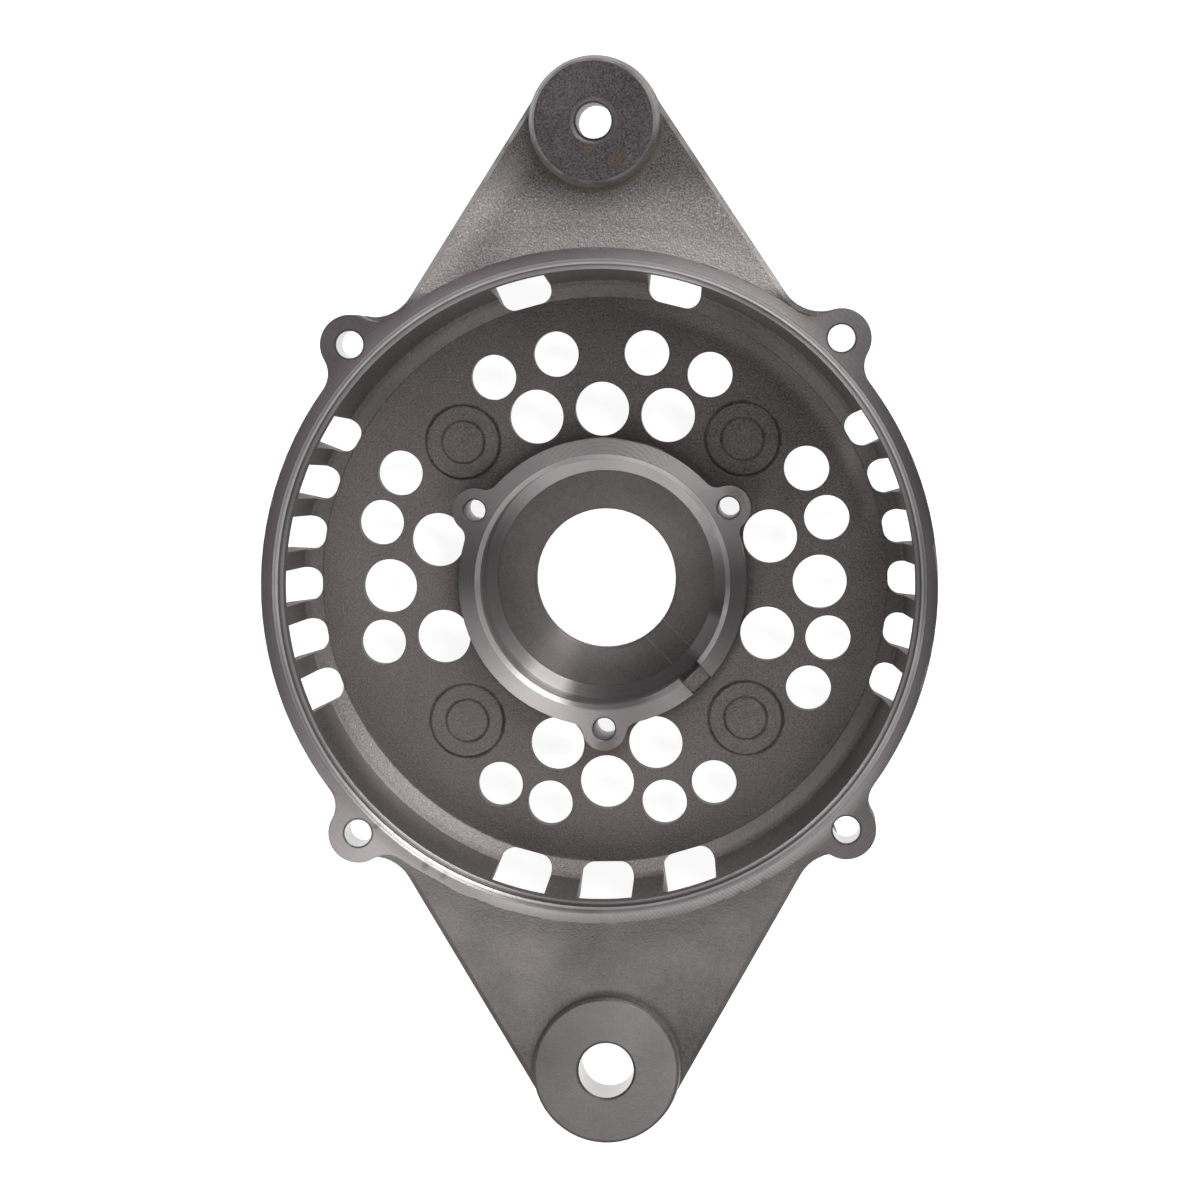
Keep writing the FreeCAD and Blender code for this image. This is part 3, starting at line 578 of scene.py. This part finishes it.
def ear_painted_light_and_tones(s, masks, lumps):
    """Painted light on the upper ear: lightest beside the rim and at its left edge near the rim, with painted
    shade away from the rim and deepest round its boss. The lower ear is lighter towards its upper left and in
    a pale cloud.
    """
    sideways = s.worked("ABSOLUTE", s.x)
    past_lugs = masks["upper_ear"] * s.above(s.y, RIM_R - 9.0, 2.0)
    near_rim = s.below(s.y + lumps * 1.2 - sideways * 0.08, 72.2, 5.0) * past_lugs
    beside_rim = s.below(s.radius, RIM_R + 5.5, 3.5) * past_lugs
    round_boss = s.below(s.distance(*UPPER_HOLE.xy), UPPER_BOSS_R + 4.5, 3.0).without(masks["upper_boss"])
    at_rim = s.below(s.radius, RIM_R + 3.6, 1.6) * past_lugs
    # Painted light near and beside the rim, less towards the left and more towards the right, and painted
    # shade over the rest of the upper ear, deepest round its boss
    upper = near_rim * (0.80 - s.below(s.x, -18.5, 5.0) * 0.45) + at_rim * 0.35
    upper = upper + beside_rim * (0.55 + s.above(s.x, 10.0, 8.0) * 0.45)
    upper = upper - masks["upper_ear"] * (0.38 + round_boss * 0.12)
    leftward = s.x * LEFT_SIDE.x + s.y * LEFT_SIDE.y
    # Painted highlight at the upper ear's left edge near the rim
    left_edge = s.above(leftward, LEFT_EDGE, 2.8) * s.below(s.y, 78.0, 8.0) * past_lugs
    upper = upper + left_edge * 0.8
    pale = s.below(s.distance(*PALE_CLOUD_AT), 6.0, 6.0)
    lower = masks["lower_ear"] * ((s.y + 70.0) * 0.014 - s.x * 0.006 + pale * 0.20)
    return near_rim, upper + lower


def cast_tone(s, masks, fine, lumps, clouds):
    """How much lighter or darker than its grey each spot of the cast skin is: grain, specks and clouds,
    painted light and shade on the ears, and the plate lighter towards its lower left as painted light.
    """
    near_rim, ears = ear_painted_light_and_tones(s, masks, lumps)
    specks = s.above(s.noise(SPECK_SIZE, detail=1.0), 0.30, 0.16)
    # Grain and specks show more strongly where the ears and shoulder have painted light
    coarse = near_rim.larger(masks["shoulder"] * s.arc(236.0, 44.0, 20.0) * 0.6)
    smooth = any_of(masks, "lower_ear", "pocket", "shoulder").without(coarse)
    # Painted light: the plate lighter towards its lower left
    plate = masks["plate"] * (s.x + s.y) * -0.005
    grain = fine * (0.8 + coarse * 0.9 - smooth * 0.4) + lumps * 0.14
    mottled = clouds * (0.22 + masks["lower_ear"] * 0.2)
    return grain + mottled + ears + plate + specks * (0.18 + coarse * 0.7 - smooth * 0.14)


def machined_tone(s, masks, fine, clouds):
    """How much lighter or darker each spot of a machined face is: turning marks, a cutter's arcs, painted
    light across the rim, its lugs and the lower boss, and a painted highlight on the chamfer's inner part.
    """
    turning = s.turned_marks(TURNING_PITCH) * any_of(masks, "rim", "rim_chamfer", "hub", "mouth", "bore")
    arcs = s.worked("SINE", s.distance(*HUB_ARCS_AT) * 7.5) * masks["hub"] * s.arc(90.0, 26.0, 12.0)
    hatching = s.worked("SINE", s.distance(*HATCHING_AT) * 10.0) * masks["rim"] * s.arc(288.0, 18.0, 8.0)
    # Painted light: the rim lighter towards its lower left, its lugs darker but lit at the lower left, and
    # the lower boss lighter to its upper right
    off_ring = s.above(s.radius, RIM_R - 0.5, 2.0)
    lugs = off_ring * ((s.x + s.y) * 0.001 - 0.30 + s.arc(223.0, 20.0, 10.0) * 0.45)
    slope = masks["rim"] * ((s.x + s.y) * -0.0025 + lugs)
    slope = slope + masks["lower_boss"] * (s.x * 0.012 + s.y * 0.01 + 0.86)
    # A darker line round the chamfer's middle, and a painted highlight on its inner part
    chamfer_mid_line = masks["rim_chamfer"] * s.line(s.radius, CHAMFER_R - 0.55, 0.14)
    inner = masks["rim_chamfer"] * s.below(s.radius, CHAMFER_R - 0.6, 0.1)
    marks = turning * 0.22 + arcs * 0.10 + hatching * 0.16 + inner * 0.5 - chamfer_mid_line * 0.4
    return marks + slope + clouds * 0.16 + fine * 0.1


def casting():
    """The whole casting: dark grainy cast skin, and the machined faces on it, with painted light and shade on
    both.
    """
    s = Shader("cast_aluminium_looks")
    fine = s.noise(GRAIN_SIZE, detail=2.0, rough=0.6)
    lumps = s.noise(LUMP_SIZE, detail=2.0)
    spots = s.noise(SPOT_SIZE, detail=3.0)
    clouds = s.noise(CLOUD_SIZE, detail=3.0, rough=0.6)
    masks = zones(s, spots)
    turned = any_of(masks, "rim", "rim_chamfer", "rim_seat", "hub", "mouth", "bore")
    machined = any_of(masks, "lower_boss", "holes").larger(turned)
    cut = incised(s, masks, lumps, spots)

    shade = cast_tone(s, masks, fine, lumps, clouds) * (1 - machined)
    shade = shade + machined_tone(s, masks, fine, clouds) * machined + 1
    # Painted highlights and shade round the bearing axis, face by face
    for face, stops in PAINTED_LIGHT_ROUND.items():
        shade = shade + masks[face] * s.round_axis(stops)
    pale = machined * s.above(clouds + s.y * -0.004, 0.02, 0.35)
    plum = masks["rim"] * s.arc(150.0, 62.0, 20.0)
    tints = s.mixed(pale * 0.4, s.mixed(plum * 0.8, zone_colours(s, masks), PLUM), PALE)
    colour = s.tinted(tints, shade.larger(DARKEST))
    # Painted shade in the sunken lines round the pin marks
    colour = s.mixed(cut * 0.7, colour, DARK_LINE)
    colour = stains_and_painted_shade(s, masks, machined, lumps, bare_edges_and_highlights(s, masks, spots, colour))

    roughness = s.mixed(machined, CAST_ROUGHNESS + fine * 0.08, MACHINED_ROUGHNESS) + lumps * 0.03
    roughness = s.mixed(masks["holes"], roughness, HOLE_ROUGHNESS)
    rounded = s.node("ShaderNodeBevel", samples=2)
    rounded.inputs["Radius"].default_value = EDGE_ROUND * MM
    coarseness = 1 - machined.larger(masks["pocket"]) * 0.8
    normal = s.bumped(fine + lumps * 0.6 - cut * 4, GRAIN_DEPTH, rounded.outputs[0], coarseness)
    brushed = (turned * TURNED_BRUSHED).larger(masks["lower_boss"] * BOSS_BRUSHED)
    brushed = brushed.larger(masks["pocket"] * POCKET_BRUSHED)
    return s.finished(colour, roughness, CAST_METAL, normal, brushed, s.outward(masks["lower_boss"]))


# Threads in the tapped holes
TURN_STEPS = 28
SHARP_EDGE = 40
ROOT_GAP = 0.02
BARE_END = 0.6
ADJUSTER_PITCH = 1.0
ADJUSTER_CREST = 0.12
SCREW_PITCH = 0.8
SCREW_CREST = 0.08
SCREW_LENGTH = 15.6
SCREW_FIRST_ANGLE = -90.0
THREAD_GRAIN_SIZE = 0.3
THREAD_GRAIN_DEPTH = 0.02
THREAD_ROUGHNESS = 0.4
THREAD_METAL = 0.9


def thread(name, centre, radius, length, pitch, crest_height, material):
    """The thread inside a tapped hole: a helix whose crest stands in from the wall."""
    low = centre.z - length / 2
    steps = round(length / pitch) * TURN_STEPS
    root_r = radius - ROOT_GAP
    vertices = []
    for step in range(steps + TURN_STEPS + 1):
        angle = 2 * math.pi * step / TURN_STEPS
        rise = pitch * (step / TURN_STEPS - 1)
        for rail_r, lift in ((root_r, 0.0), (root_r - crest_height, pitch / 2)):
            height = low + min(max(rise + lift, 0.0), length)
            spot = Vector((rail_r * math.cos(angle), rail_r * math.sin(angle), 0.0))
            vertices.append(((centre.x + spot.x) * MM, (centre.y + spot.y) * MM, height * MM))
    faces = []
    for step in range(steps + TURN_STEPS):
        root, crest = step * 2, step * 2 + 1
        faces.append((root, crest, crest + 2, root + 2))
        above = root + TURN_STEPS * 2
        if above + 2 < len(vertices):
            faces.append((crest, above, above + 2, crest + 2))
    mesh = bpy.data.meshes.new(name)
    mesh.from_pydata(vertices, [], faces)
    mesh.shade_smooth()
    mesh.set_sharp_from_angle(angle=math.radians(SHARP_EDGE))
    mesh.materials.append(material)
    piece = bpy.data.objects.new(name, mesh)
    bpy.context.scene.collection.objects.link(piece)
    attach(piece, "root")


def thread_metal():
    """Freshly cut metal with a faint grain."""
    s = Shader("cut_thread")
    fine = s.noise(THREAD_GRAIN_SIZE)
    colour = s.tinted(s.vector(*SEATS), 1 + fine * 0.25)
    roughness = THREAD_ROUGHNESS + fine * 0.06
    return s.finished(colour, roughness, THREAD_METAL, s.bumped(fine, THREAD_GRAIN_DEPTH))


def threads():
    """The adjuster's thread, and one in each screw hole round the hub."""
    metal = thread_metal()
    adjuster_length = UPPER_HOLE_DEPTH - BARE_END
    thread(
        "adjuster_thread", UPPER_HOLE, UPPER_HOLE_R, adjuster_length, ADJUSTER_PITCH, ADJUSTER_CREST, metal,
    )
    screws = dims["retainer_screws"]
    circle_r = screws["pcd_mm"] / 2
    middle_z = HUB_Z - BARE_END - SCREW_LENGTH / 2
    for number in range(screws["count"]):
        angle = math.radians(SCREW_FIRST_ANGLE + FULL_TURN / screws["count"] * number)
        centre = Vector((circle_r * math.cos(angle), circle_r * math.sin(angle), middle_z))
        name = f"screw_thread_{number + 1}"
        thread(name, centre, screws["hole_r_mm"], SCREW_LENGTH, SCREW_PITCH, SCREW_CREST, metal)


# Floor, light and camera
FLOOR_HALF = 3.0
FLOOR_GAP = 0.05
FLOOR_PAINT = (0.82, 0.82, 0.82)
FLOOR_GLOW = 0.85
SKY_COLOUR = (0.95, 0.95, 1.0, 1.0)
SKY_STRENGTH = 0.234
LIGHT_DISTANCE = 1.1
LIGHT_WIDTH = 0.45

# Each soft light's name, azimuth, elevation and power
LIGHTS = (
    ("key_low", 60, 28, 4.1),
    ("key_high", 60, 55, 2.7),
    ("low_left", 240, 55, 3.05),
    ("low_right", 300, 55, 1.9),
)

CAMERA_AT = Vector((42.7, 48.4, 826.5)) * MM
CAMERA_TURN = (-0.06358, 0.05298, -0.00998)
CAMERA_LENS = 128.22
SENSOR = 36.0


def floor_paint():
    """Pale paint that the camera and the metal see as white, apart from the deepest shadow."""
    s = Shader("studio_floor")
    seen = s.node("ShaderNodeLightPath")
    direct = Value(s, seen.outputs["Is Camera Ray"])
    mirrored = Value(s, seen.outputs["Is Glossy Ray"]).larger(Value(s, seen.outputs["Is Transmission Ray"]))
    paint = s.node("ShaderNodeBsdfDiffuse")
    s.plug(paint.inputs["Color"], s.tinted(s.vector(*FLOOR_PAINT), 1 - mirrored))
    glow = s.node("ShaderNodeEmission")
    s.plug(glow.inputs["Strength"], direct * FLOOR_GLOW + mirrored)
    both = s.node("ShaderNodeAddShader")
    s.plug(both.inputs[0], paint.outputs[0])
    s.plug(both.inputs[1], glow.outputs[0])
    output = s.node("ShaderNodeOutputMaterial")
    s.plug(output.inputs["Surface"], both.outputs[0])
    return s.material


def floor():
    """The floor lies just under the nose face, which rests on it."""
    height = (NOSE_Z - FLOOR_GAP) * MM
    far = FLOOR_HALF
    corners = [(-far, -far), (far, -far), (far, far), (-far, far)]
    mesh = bpy.data.meshes.new("studio_floor")
    mesh.from_pydata([(x, y, height) for x, y in corners], [], [(0, 1, 2, 3)])
    mesh.materials.append(floor_paint())
    piece = bpy.data.objects.new("studio_floor", mesh)
    bpy.context.scene.collection.objects.link(piece)


def soft_light(name, azimuth, elevation, power):
    """A square soft light that faces the part from an azimuth and an elevation."""
    across = LIGHT_DISTANCE * math.cos(math.radians(elevation))
    at = Vector((
        across * math.cos(math.radians(azimuth)),
        across * math.sin(math.radians(azimuth)),
        LIGHT_DISTANCE * math.sin(math.radians(elevation)),
    ))
    lamp = bpy.data.lights.new(name, "AREA")
    lamp.size = LIGHT_WIDTH
    lamp.energy = power
    piece = bpy.data.objects.new(name, lamp)
    piece.location = at
    piece.rotation_euler = at.to_track_quat("Z", "Y").to_euler()
    bpy.context.scene.collection.objects.link(piece)


def studio():
    """A dim even sky and the soft lights."""
    world = bpy.data.worlds.new("studio")
    world.use_nodes = True
    sky = world.node_tree.nodes["Background"]
    sky.inputs["Color"].default_value = SKY_COLOUR
    sky.inputs["Strength"].default_value = SKY_STRENGTH
    bpy.context.scene.world = world
    for light in LIGHTS:
        soft_light(*light)


def camera():
    """The photograph's own camera, which was worked out from circles at different heights."""
    lens = bpy.data.cameras.new("camera")
    lens.sensor_width = SENSOR
    lens.lens = CAMERA_LENS
    piece = bpy.data.objects.new("camera", lens)
    piece.location = CAMERA_AT
    piece.rotation_euler = Euler(CAMERA_TURN, "ZYX").to_matrix().to_euler()
    bpy.context.scene.collection.objects.link(piece)
    bpy.context.scene.camera = piece


frame["nodes"][NODE].material_slots[0].material = casting()
threads()
floor()
studio()
camera()
bpy.context.scene.view_settings.view_transform = "Standard"
